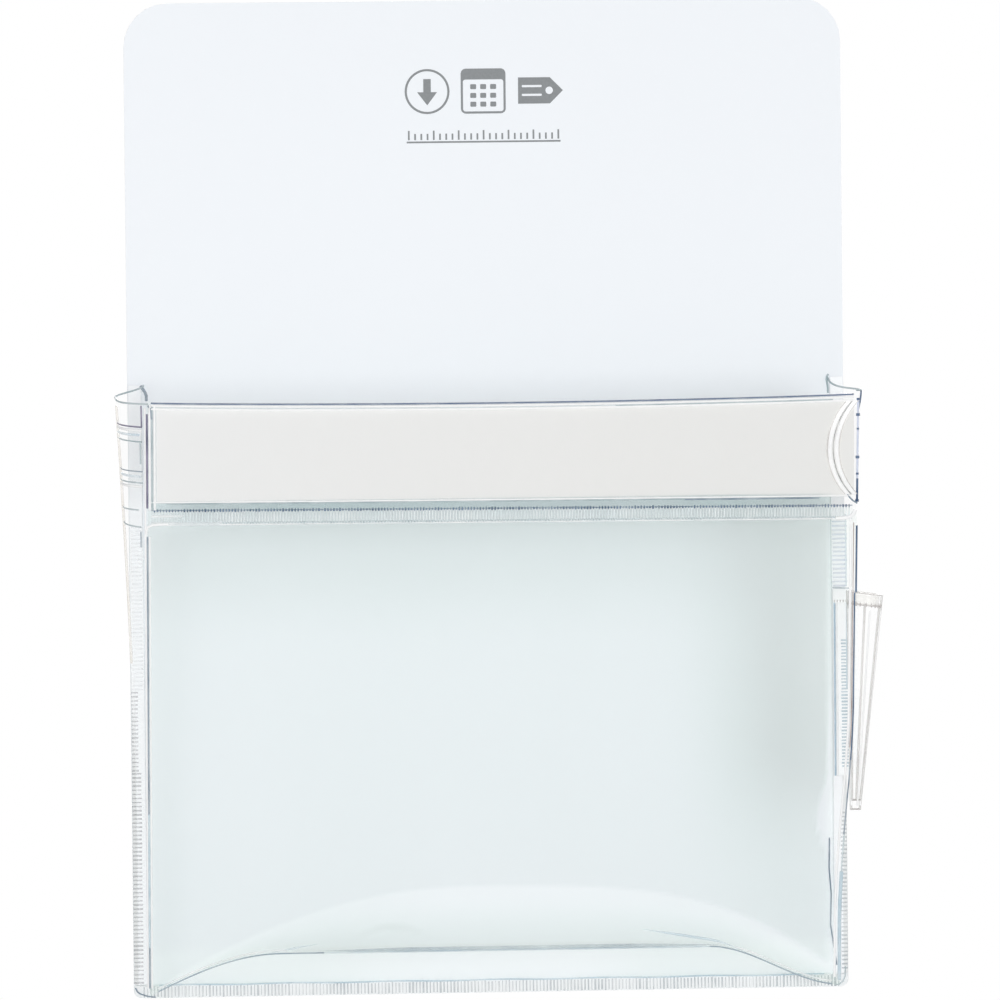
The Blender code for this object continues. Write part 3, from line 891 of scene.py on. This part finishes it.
def add_gussets(finishes):
    columns = [t / 2 for t in steps(16)] + [0.5 + 0.5 * (1 - (1 - t) ** 1.6) for t in steps(20)[1:]]
    for side, name in ((-1, "left_gusset"), (1, "right_gusset")):
        place = gusset_point(side)
        mesh = film_mesh(f"{name}_film", columns, steps(64), place)
        wall = link(f"{name}_film", mesh, finishes["gusset"], smooth_angle=60)
        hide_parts(name)
        gusset_piece(wall, name)
        edge = link(f"{name}_edge", bead_mesh([[place(u, 1.0) for u in columns]], 0.3 * MM), finishes["teal"])
        gusset_piece(edge, name)
    # Crease lines on the gussets: the dark lines are painted shade in the creases, and the white ones are
    # painted highlights.
    for side, name, finish, radius, strokes in (
            (-1, "left_gusset", "plum", 0.26, [(0.60, 185.0, 0.965, 183.8), (0.965, 190.6, 0.965, 183.8)]),
            (-1, "left_gusset", "slate", 0.2, [(0.60, 170.6, 0.965, 169.6)]),
            (-1, "left_gusset", "teal", 0.24, [
                (0.60, 158.2, 0.93, 157.4), (0.62, 180.3, 0.965, 179.1), (0.60, 167.0, 0.965, 166.0),
                (0.955, 178.8, 0.955, 172.0), (0.60, 153.4, 0.95, 151.9)]),
            (-1, "left_gusset", "ice", 0.4, [(0.62, 182.2, 0.95, 181.3), (0.66, 168.9, 0.955, 168.0)]),
            (-1, "left_gusset", "cream", 0.45, chain((0.62, 190.5), (0.57, 160.0), (0.55, 108.0))),
            (-1, "left_gusset", "gleam", 0.4, [(0.62, 183.9, 0.965, 182.6), (0.62, 165.7, 0.965, 164.8)]),
            (1, "right_gusset", "navy", 0.3, [(0.90, 192.4, 0.94, 188.6)]),
            (1, "right_gusset", "slate", 0.26, [(0.94, 188.6, 0.97, 186.4)])):
        mesh = bead_mesh([gusset_stroke(side, *stroke) for stroke in strokes], radius * MM)
        gusset_piece(link(f"{name}_{finish}", mesh, finishes[finish]), name)


def add_flange_ribs(finishes, tree):
    """The ribbed welds at the sides and the foot, and the rolled film ends above the side welds."""
    turn = Matrix.Rotation(math.radians(-90), 4, "Y")
    for name, first, last, width, shift, finish in (
            ("left_flange", 5, 72, 0.8, -0.7, "rib_side"),
            ("left_flange", 73, 98, 0.55, -1.1, "rib_side"),
            ("left_flange", 99, 151, 0.9, 0, "rib_pale"),
            ("right_flange", 6, 56, 0.48, 1.1, "rib"),
            ("right_flange", 129, 151, 1.2, 0.55, "rib_blue")):
        low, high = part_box(name)
        middle = (low[0] + high[0]) / 2 + shift * MM
        size = (0.5 * SIDE_RIB_PITCH, RIB_HEIGHT, width * (high[0] - low[0]))
        place = Matrix.Translation((middle, low[1], BASE + first * MM)) @ turn
        rib_row(f"{name}_ribs_{last}", tree, (last - first) * MM, SIDE_RIB_PITCH, size, place,
                finishes[finish], "back", name)
    low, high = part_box("bottom_flange")
    place = Matrix.Translation((low[0] + 3 * MM, low[1], (low[2] + high[2]) / 2))
    size = (0.6 * FOOT_RIB_PITCH, RIB_HEIGHT, 0.96 * (high[2] - low[2]))
    rib_row("bottom_flange_ribs", tree, high[0] - low[0] - 6 * MM, FOOT_RIB_PITCH, size, place,
            finishes["rib"], "back", "bottom_flange", least=(0.3, 1, 0.8))
    front = SHEET_FRONT - 1 * MM
    seam = [(lerp(-107, 107, t) * MM, front, SEAM_HEIGHT - (0.2 - 0.12 * math.sin(40 * t)) * MM)
            for t in steps(90)]
    line_maker(finishes, "back", "bottom_flange")("bottom_seam", [seam], 0.22, "sky")
    for name, radius, finish, slot, path in (
            ("left_weld_hook", 0.5, "slate", "left_flange", (
                (-110.8, -0.9, 196.0), (-110.2, -1.4, 195.2), (-109.5, -2.4, 194.0), (-109.2, -3.6, 193.0),
                (-109.3, -5, 191.6))),
            ("right_weld_spur", 0.34, "teal", "right_flange", (
                (110.1, -0.9, 197.0), (109.6, -1.2, 196.2), (109.5, -1.4, 195.2), (109.8, -1.6, 193.4),
                (109.9, -1.8, 191.0)))):
        points = [Vector((x, SHEET_FRONT / MM + y, height)) * MM for x, y, height in path]
        line_maker(finishes, "back", slot)(name, [points], radius, finish)
    for name, radius, finish, places in (
            ("left_flange_lines", 0.2, "slate", ((-111.2, 149.5), (-111.2, 144.5))),
            ("right_flange_line", 0.16, "mist", ((110.5, 152), (110.6, 128.8))),
            ("right_flange_light", 0.26, "ice", ((115.3, 152), (115.3, 128.8))),
            ("left_foot_hook", 0.22, "slate",
             ((-114.6, 3.4), (-114.1, 2.3), (-113.2, 1.5), (-110.6, 0.6), (-108.2, 0.3))),
            ("right_foot_hook", 0.22, "mist",
             ((110.4, 0.6), (111.8, 0.7), (113.2, 1.7), (113.9, 3.4), (114.0, 6.5))),
            ("right_foot_line", 0.24, "slate",
             ((109.2, 48), (109.0, 38), (109.6, 30), (109.3, 20), (111.2, 7)))):
        line = line_maker(finishes, "back", name[:name.index("_")] + "_flange")
        line(name, flat_strokes(chain(*places), front, 8), radius, finish)


def window_rows():
    """(reach, out, lift) down the label window's section."""
    top = RIM_REACH + FILM / 2 + GAP
    first = WINDOW_STEP + WINDOW_STEP_RISE
    weld = [(WINDOW_FOOT, WELD_OUT, FOOT_LIFT), (WINDOW_STEP - 0.3 * MM, WELD_OUT, SEAM_LIFT),
            (first, WINDOW_OUT, SEAM_LIFT)]
    face = [(lerp(first, top - 0.4 * MM, t), WINDOW_OUT, LEVEL) for t in steps(48)[1:]]
    rim = ((top - 0.12 * MM, WINDOW_OUT - 0.12 * MM), (top, WINDOW_OUT - 0.4 * MM), (top, 0))
    return weld + face + [(reach, out, LEVEL) for reach, out in rim]


def weld_row(name, tree, reach, lift, size, finish, least):
    """Ribs across the label window's weld, along a line at this reach with its ends lifted."""
    run = window_right(WINDOW_FOOT) - WINDOW_LEFT - 2 * MM
    spot = raised(on_front(WINDOW_LEFT + 1 * MM, reach + lift[0], WELD_OUT + FILM / 2 + size[1] / 4))
    turn = Matrix.Rotation(FRONT_TILT, 4, "X") @ Matrix.Rotation((lift[0] - lift[1]) / run, 4, "Y")
    place = Matrix.Translation(spot) @ turn
    rib_row(name, tree, run, LABEL_RIB_PITCH, size, place, finish, "front", "label_window", least=least)


def add_label_window(finishes, tree):
    rows = window_rows()
    card_foot = RIM_REACH - CARD_TOP_MARGIN - CARD_HEIGHT

    def place(u, v):
        reach, out, lift = rows[round(v * (len(rows) - 1))]
        right = window_right(min(reach, RIM_REACH))
        return on_front(lerp(WINDOW_LEFT, right, u), reach + lerp(*lift, u), out)

    # Painted shade of the card's shadow: a little on the weld, deep between the weld and the card's foot,
    # paler at the left end and towards the right, with a swell about three quarters across, and none at the
    # right end.
    def painted_shading(u, v):
        reach = rows[round(v * (len(rows) - 1))][0]
        if reach > card_foot:
            return 0.0
        if reach <= WINDOW_STEP:
            return WELD_SHADE
        deeper = lerp(0.55, 1, fade(u, 0.1, 0.1)) * (1 + 0.6 * hump((u - 0.73) / 0.16))
        return GAP_SHADE * (1 - 0.72 * u) * deeper * (1 - fade(u, 0.95, 0.03))

    mesh = film_mesh("label_window_film", steps(48), steps(len(rows) - 1), place, painted_shading=painted_shading)
    window = link("label_window_film", mesh, finishes["window"], "front", smooth_angle=60)
    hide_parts("label_window")
    middle = (WINDOW_FOOT + WINDOW_STEP) / 2
    middle_lift = [(foot + seam) / 2 for foot, seam in zip(FOOT_LIFT, SEAM_LIFT)]
    across_weld = 0.84 * WINDOW_WELD_HEIGHT / MM
    for name, reach, lift, width, height, length, finish, least in (
            ("ribs", middle, middle_lift, 0.5, 0.14, across_weld, "weld_light", (0.6, 1, 0.85)),
            ("teeth", WINDOW_STEP + 0.1 * MM, SEAM_LIFT, 0.66, 0.5, 1.1, "navy", (0.45, 0.8, 0.5)),
            ("foot", WINDOW_FOOT + 0.3 * MM, FOOT_LIFT, 0.4, 0.3, 0.8, "teal", (0.3, 0.8, 0.3))):
        size = (width * LABEL_RIB_PITCH, height * MM, length * MM)
        weld_row(f"label_weld_{name}", tree, reach, lift, size, finishes[finish], least)

    def card_point(u, v):
        x = lerp(CARD_LOW.x, CARD_HIGH.x, u)
        reach = card_foot + CARD_HEIGHT * v + (1 - v) * lerp(*CARD_FOOT_LIFT, u)
        droop = sag(x, reach * FRONT_RISE) - sag(x, reach * FRONT_RISE, CARD_SAG)
        return on_front(x, reach + droop, CARD_OUT)

    mesh = film_mesh("paper_label", steps(60), steps(8), card_point, thickness=CARD_THICKNESS, rim_only=False)
    card = link("paper_label", mesh, finishes["label"], "card")
    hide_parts("label_card")


def add_label_lines(finishes):
    """The rim, the window's ends and the edges of its welds, with painted highlights along them and painted
    shade under the card's foot.
    """
    face = WINDOW_OUT + FILM / 2
    top = RIM_REACH + FILM / 2 + GAP
    card_top = RIM_REACH - CARD_TOP_MARGIN
    line = line_maker(finishes, "front", "label_window")

    def level(reach, out, start=0.0, end=1.0, lift=LEVEL, count=80):
        right = window_right(min(reach, RIM_REACH))
        shares = [lerp(start, end, t) for t in steps(count)]
        return [on_front(lerp(WINDOW_LEFT, right, u), reach + lerp(*lift, u), out) for u in shares]

    def upright(x, low, high):
        return [on_front(x * MM, lerp(low, high, t), face) for t in steps(20)]

    def bend(*places):
        return [on_front(x * MM, reach * MM, face) for x, reach in places]

    line("rim_line", [level(top, WINDOW_OUT)], 0.26, "indigo")
    line("rim_light", [level(top - 0.75 * MM, face), level(card_top + 0.45 * MM, face)], 0.36, "gleam")
    line("card_slot_line", [level(card_top + 0.9 * MM, face, 0.66, 0.97)], 0.14, "teal")
    rim = RIM_REACH / MM
    corner = bend((-110.2, rim - 0.2), (-109.5, rim - 1.4), (-109.0, rim - 4.6))
    line("left_rim_corner", [corner], 0.34, "slate")
    line("notch_hook", [bend((112.8, 160.8), (113.7, 159.4), (114.8, 158.3), (116.2, 157.4))], 0.26, "slate")
    low = WINDOW_STEP + WINDOW_STEP_RISE
    line("left_end_line", [upright(-109.0, low, RIM_REACH - 0.6 * MM)], 0.28, "teal")
    line("left_end_light", [upright(-109.75, low, RIM_REACH), upright(-108.2, low, RIM_REACH)], 0.36, "gleam")
    card_foot = card_top - CARD_HEIGHT - 0.2 * MM
    # A painted highlight along the card's foot, and painted shadow lines just below it.
    for name, drop, start, end, radius, finish in (
            ("card_foot_light", 0, 0.0, 1.0, 0.26, "gleam"),
            ("card_foot_shade", 0.5, 0.02, 0.955, 0.2, "teal"),
            ("card_foot_dark", 0.62, 0.76, 0.952, 0.26, "slate")):
        line(name, [level(card_foot - drop * MM, face, start, end, CARD_FOOT_LIFT)], radius, finish)
    weld = WELD_OUT + FILM / 2
    line("weld_foot_light", [level(WINDOW_FOOT - 0.1 * MM, weld, lift=FOOT_LIFT)], 0.24, "glint")
    line("weld_foot_line", [level(WINDOW_FOOT + 0.6 * MM, weld, lift=FOOT_LIFT)], 0.12, "mist")
    line("weld_seam_line", [level(WINDOW_STEP + 0.2 * MM, weld + 0.2 * MM, lift=SEAM_LIFT)], 0.14, "slate")
    start = card_top - CARD_HEIGHT / 2 - NOTCH_HEIGHT / 2
    reaches = [lerp(start + 0.5 * MM, start + NOTCH_HEIGHT - 0.5 * MM, t) for t in steps(60)]
    for name, shifts, radius, finish in (
            ("notch_edge", (0.0,), 0.12, "graphite"),
            ("notch_light", (-1.35, -0.75, 0.75, 1.35), 0.4, "gleam"),
            ("notch_shade", (-1.9, 1.85), 0.2, "pale")):
        paths = [[on_front(window_right(reach) + shift * MM, reach, face) for reach in reaches]
                 for shift in shifts]
        line(name, paths, radius, finish)
    for name, end, radius, places in (
            ("right_corner_light", front_side(WINDOW_FOOT, 1) / MM, 0.62,
             ((-7, 0.1), (-4, 0.2), (-2.2, 0.6), (-1.2, 1.6), (-0.6, 3))),
            ("left_corner_light", -111, 0.42, ((7, 1.1), (4, 1.1), (2, 0.9), (0.4, 0.2), (-0.3, -3.0)))):
        places = [(end + shift, WINDOW_FOOT / MM + rise) for shift, rise in places]
        line(name, [bend(*places)], radius, "gleam")
    low_glint = level(WINDOW_FOOT + 0.4 * MM, weld, 0.0, 0.1, lift=FOOT_LIFT, count=8)
    glint = level(WINDOW_FOOT + 3.6 * MM, weld, 0.0, 0.045, count=8)
    line("left_corner_glint", [glint, low_glint], 0.4, "glint")


def add_pen_sleeve(finishes, tree):
    high = SLEEVE_MOUTH_HEIGHT
    low = high - SLEEVE_LENGTH
    band = sleeve_point(high - HEM_HEIGHT, high, FILM * 1.5 + GAP)
    for name, place, rows, finish, slot in (
            ("pen_sleeve_tube", sleeve_point(low, high, FILM / 2), 40, "sleeve", "pen_sleeve"),
            ("pen_sleeve_band", band, 6, "hem", "pen_sleeve_hem")):
        mesh = film_mesh(name, steps(72), steps(rows), place, closed=True)
        made = link(name, mesh, finishes[finish], "sleeve", smooth_angle=60)
        made.visible_shadow = False
        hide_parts(slot)
    ring = sleeve_point(low, high, 0.0)
    hem = 1 - HEM_HEIGHT / SLEEVE_LENGTH

    def around(*levels):
        return [[ring(u, v) for u in steps(72)] for v in levels]

    def along(shares, start, end):
        return [[ring(u, lerp(start, end, t)) for t in steps(30)] for u in shares]

    tube_line = line_maker(finishes, "sleeve", "pen_sleeve")
    hem_line = line_maker(finishes, "sleeve", "pen_sleeve_hem")
    hem_line("pen_sleeve_rings", around(0.998, hem), 0.15, "taupe")
    tube_line("pen_sleeve_tip", around(0.003, 0.046), 0.18, "taupe")
    tube_line("pen_sleeve_sides", along((0.0, 0.5), 0, 1), 0.42, "fawn")
    tube_line("pen_sleeve_folds", along((0.6, 0.745, 0.9), 0.05, hem), 0.4, "fawn")
    tube_line("pen_sleeve_lights", along((0.95, 0.78, 0.55), 0.02, 0.92), 0.3, "gleam")
    ticks = [[ring(0.5 + 0.5 * t, hem - 0.006), ring(0.5 + 0.5 * t, hem + 0.012)] for t in steps(12)]
    hem_line("pen_sleeve_hem_ticks", ticks, 0.24, "taupe")
    add_sleeve_strip(finishes, tree)


def add_sleeve_strip(finishes, tree):
    """The milky strip that carries the sleeve, with a hem at its top and a ribbed weld beside the tube."""
    middle = (STRIP_LOW.y + STRIP_HIGH.y) / 2

    def place(u, v):
        return Vector((lerp(STRIP_LOW.x, STRIP_HIGH.x, u), middle, lerp(STRIP_LOW.z, STRIP_HIGH.z, v) - BASE))

    mesh = film_mesh("sleeve_strip_film", steps(8), steps(60), place)
    strip = link("sleeve_strip_film", mesh, finishes["strip"], "back")
    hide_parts("pen_sleeve_strip")
    line = line_maker(finishes, "back", "pen_sleeve_strip")
    for name, strokes, radius, finish in (
            ("sleeve_strip_edge", [(111.4, 123.6, 111.3, 68)], 0.27, "blue"),
            ("sleeve_strip_right_edge", [(115.4, 123.6, 115.2, 96)], 0.24, "sky"),
            ("sleeve_strip_cap", [(110.8, 128.4, 116.2, 128.2)], 0.15, "slate"),
            ("sleeve_strip_ticks", [(x, 124.5, x, 123.7) for x in (111.4, 112.35, 113.3, 114.25, 115.2)],
             0.22, "pale"),
            ("sleeve_strip_light", [(112.1, 123.6, 112.0, 68)], 0.4, "gleam")):
        line(name, flat_strokes(strokes, STRIP_LOW.y - 0.05 * MM, 10), radius, finish)
    turn = Matrix.Rotation(math.radians(-90), 4, "Y")
    spot = Matrix.Translation(raised((114.5 * MM, STRIP_LOW.y, 71 * MM))) @ turn
    size = (0.48 * SIDE_RIB_PITCH, RIB_HEIGHT, 2.3 * MM)
    rib_row("sleeve_strip_ribs", tree, 40.5 * MM, 0.8 * SIDE_RIB_PITCH, size, spot, finishes["sky"],
            "back", "pen_sleeve_strip")


# Stage, lamps and camera.


def seen_directly(tree):
    """1 for a ray from the camera, a glossy surface or glass, and 0 for light that spreads."""
    path = add_node(tree, "ShaderNodeLightPath")
    share = path.outputs["Is Camera Ray"]
    for ray in ("Is Glossy Ray", "Is Transmission Ray"):
        either = add_node(tree, "ShaderNodeMath", {"operation": "MAXIMUM"})
        tree.links.new(share, either.inputs[0])
        tree.links.new(path.outputs[ray], either.inputs[1])
        share = either.outputs[0]
    return share


def add_stage():
    """A plain pale floor below the pocket, which hangs on a wall that isn't shown."""
    bpy.ops.mesh.primitive_plane_add(size=FLOOR_SIZE, location=(0, 0, BASE - FLOOR_DROP))
    floor = bpy.context.object
    floor.name = "floor"
    finish = Finish("floor_paint", (0.9, 0.9, 0.9), 0.8)
    white = finish.node("Emission", values={"Color": (1, 1, 1, 1), "Strength": 1.0})
    finish.cover(Wire(finish, seen_directly(finish.tree)) * FLOOR_WHITE, white)
    floor.data.materials.append(finish.material)


def add_world():
    """White where the camera, gloss or glass sees it, and a soft plain light elsewhere."""
    world = bpy.data.worlds.new("studio")
    bpy.context.scene.world = world
    world.use_nodes = True
    tree = world.node_tree
    tree.nodes.clear()
    mix = add_node(tree, "ShaderNodeMixShader")
    tree.links.new(seen_directly(tree), mix.inputs[0])
    for socket, strength in enumerate((ROOM_LIGHT, 1.0), start=1):
        values = {"Color": (1, 1, 1, 1), "Strength": strength}
        light = add_node(tree, "ShaderNodeBackground", values=values)
        tree.links.new(light.outputs[0], mix.inputs[socket])
    add_node(tree, "ShaderNodeOutputWorld", values={0: mix.outputs[0]})


def add_lamp(name, place, size, watts):
    lamp = bpy.data.lights.new(name, "AREA")
    lamp.shape = "SQUARE"
    lamp.size = size
    lamp.energy = watts
    made = add_object(name, lamp)
    made.location = place
    aim = LIT_POINT - Vector(place)
    made.rotation_euler = aim.to_track_quat("-Z", "Y").to_euler()


def add_camera():
    data = bpy.data.cameras.new("camera")
    data.sensor_width = 36
    data.lens = 36 * CAMERA_DISTANCE / FRAME_WIDTH
    made = add_object("camera", data)
    turn, lift = math.radians(CAMERA_AZIMUTH), math.radians(CAMERA_ELEVATION)
    away = Vector((math.sin(turn) * math.cos(lift), -math.cos(turn) * math.cos(lift), math.sin(lift)))
    made.location = AIM + CAMERA_DISTANCE * away
    facing = (-away).to_track_quat("-Z", "Y").to_matrix().to_4x4()
    roll = Matrix.Rotation(math.radians(-CAMERA_ROLL), 4, "Z")
    made.rotation_euler = (facing @ roll).to_euler()
    bpy.context.scene.camera = made


# The finishes of the thin lines: material name, two colours, and where needed the cover and the cell count.
LINE_FINISHES = {
    "navy": ("navy_fold", (0.035, 0.08, 0.17), (0.13, 0.20, 0.32)),
    "indigo": ("indigo_rim", (0.10, 0.15, 0.27), (0.26, 0.31, 0.40)),
    "plum": ("plum_fold", (0.12, 0.12, 0.20), (0.30, 0.27, 0.38)),
    "slate": ("slate_fold", (0.20, 0.26, 0.33), (0.38, 0.44, 0.50)),
    "graphite": ("graphite_edge", (0.13, 0.14, 0.15), (0.50, 0.50, 0.50), 0.9, 260),
    "rust": ("rust_fold", (0.34, 0.24, 0.22), (0.55, 0.45, 0.44)),
    "lavender": ("lavender_fold", (0.60, 0.66, 0.80), (0.74, 0.76, 0.86), 0.8),
    "ice": ("ice_fold", (0.64, 0.75, 0.83), (0.80, 0.87, 0.91), 0.5),
    "blue": ("blue_edge", (0.26, 0.42, 0.56), (0.48, 0.62, 0.73), 0.85),
    "sky": ("sky_fold", (0.52, 0.66, 0.74), (0.70, 0.80, 0.85), 0.75),
    "teal": ("teal_edge", (0.38, 0.47, 0.50), (0.58, 0.65, 0.67), 0.85),
    "taupe": ("taupe_edge", (0.46, 0.44, 0.43), (0.64, 0.61, 0.60), 0.85),
    "fawn": ("fawn_edge", (0.60, 0.59, 0.575), (0.76, 0.75, 0.735), 0.46, 25),
    "pale": ("pale_edge", (0.62, 0.60, 0.58), (0.82, 0.80, 0.78), 0.7),
    "cream": ("cream_edge", (0.88, 0.83, 0.77), (0.93, 0.90, 0.86), 0.5, 60),
    "gleam": ("gleam", (0.97, 0.975, 0.98), (0.99, 0.99, 0.99), 1.0),
    "glint": ("glint", (0.90, 0.94, 0.95), (0.99, 0.99, 0.99), 0.55),
    "rib": ("weld_rib", (0.58, 0.63, 0.66), (0.84, 0.87, 0.88), 0.6),
    "rib_side": ("side_weld_rib", (0.50, 0.51, 0.53), (0.70, 0.71, 0.72), 0.5),
    "rib_pale": ("weld_rib_pale", (0.76, 0.78, 0.79), (0.91, 0.92, 0.92), 0.2),
    "rib_blue": ("weld_rib_blue", (0.72, 0.79, 0.95), (0.88, 0.91, 1.0), 0.6),
    "crease": ("crease_line", (0.26, 0.34, 0.42), (0.48, 0.56, 0.62), 0.65, 70),
    "shade": ("crease_shade", (0.24, 0.32, 0.42), (0.38, 0.47, 0.58), 0.2, 40),
    "mist": ("mist_line", (0.55, 0.63, 0.66), (0.72, 0.79, 0.81), 0.55),
    "weld_light": ("weld_light", (0.84, 0.92, 0.93), (0.93, 0.97, 0.97), 0.6),
}


def make_finishes():
    finishes = {
        "back": sheet_finish(),
        "label": card_finish(),
        "magnet": magnet_finish(),
        "tape": tape_finish(),
        "ink": ink_finish(),
        # The panel's and the window's second colour and density are those of their painted shading.
        "panel": film_finish("panel_film", (0.51, 0.82, 0.66), 0.068, 0.12, (0.39, 0.52, 0.44), 0.16),
        "window": film_finish("window_film", (0.80, 0.82, 0.82), 0.05, 0.3, (0.36, 0.52, 0.54), 0.08),
        "gusset": film_finish("gusset_film", (0.92, 0.95, 0.96), 0.02, 0.2, haze=0.02),
        "sleeve": film_finish("sleeve_film", (0.90, 0.89, 0.87), 0.02, 0.3, haze=0.02),
        "strip": weld_finish("strip_film", (0.97, 0.985, 1.0), (0.985, 0.995, 1.0)),
        "hem": film_finish("hem_film", (0.90, 0.88, 0.84), 0.3, 0.3),
        "weld": weld_finish("weld_film", (0.85, 0.88, 0.89), (0.91, 0.93, 0.94)),
        "side_weld": weld_finish("side_weld_film", (0.93, 0.95, 0.975), (0.97, 0.98, 0.995),
                                 (0.77, 0.785, 0.79)),
    }
    finishes.update({key: line_finish(*values) for key, values in LINE_FINISHES.items()})
    return finishes


def build():
    bpy.context.scene.view_settings.view_transform = "Standard"
    add_camera()
    add_world()
    for lamp in LAMPS:
        add_lamp(*lamp)
    add_stage()
    finishes = make_finishes()
    dress_frame_nodes(finishes)
    tree = rib_tree()
    add_print(finishes["ink"])
    add_front(finishes)
    add_front_lines(finishes)
    add_gussets(finishes)
    add_flange_ribs(finishes, tree)
    add_label_window(finishes, tree)
    add_label_lines(finishes)
    add_pen_sleeve(finishes, tree)


build()
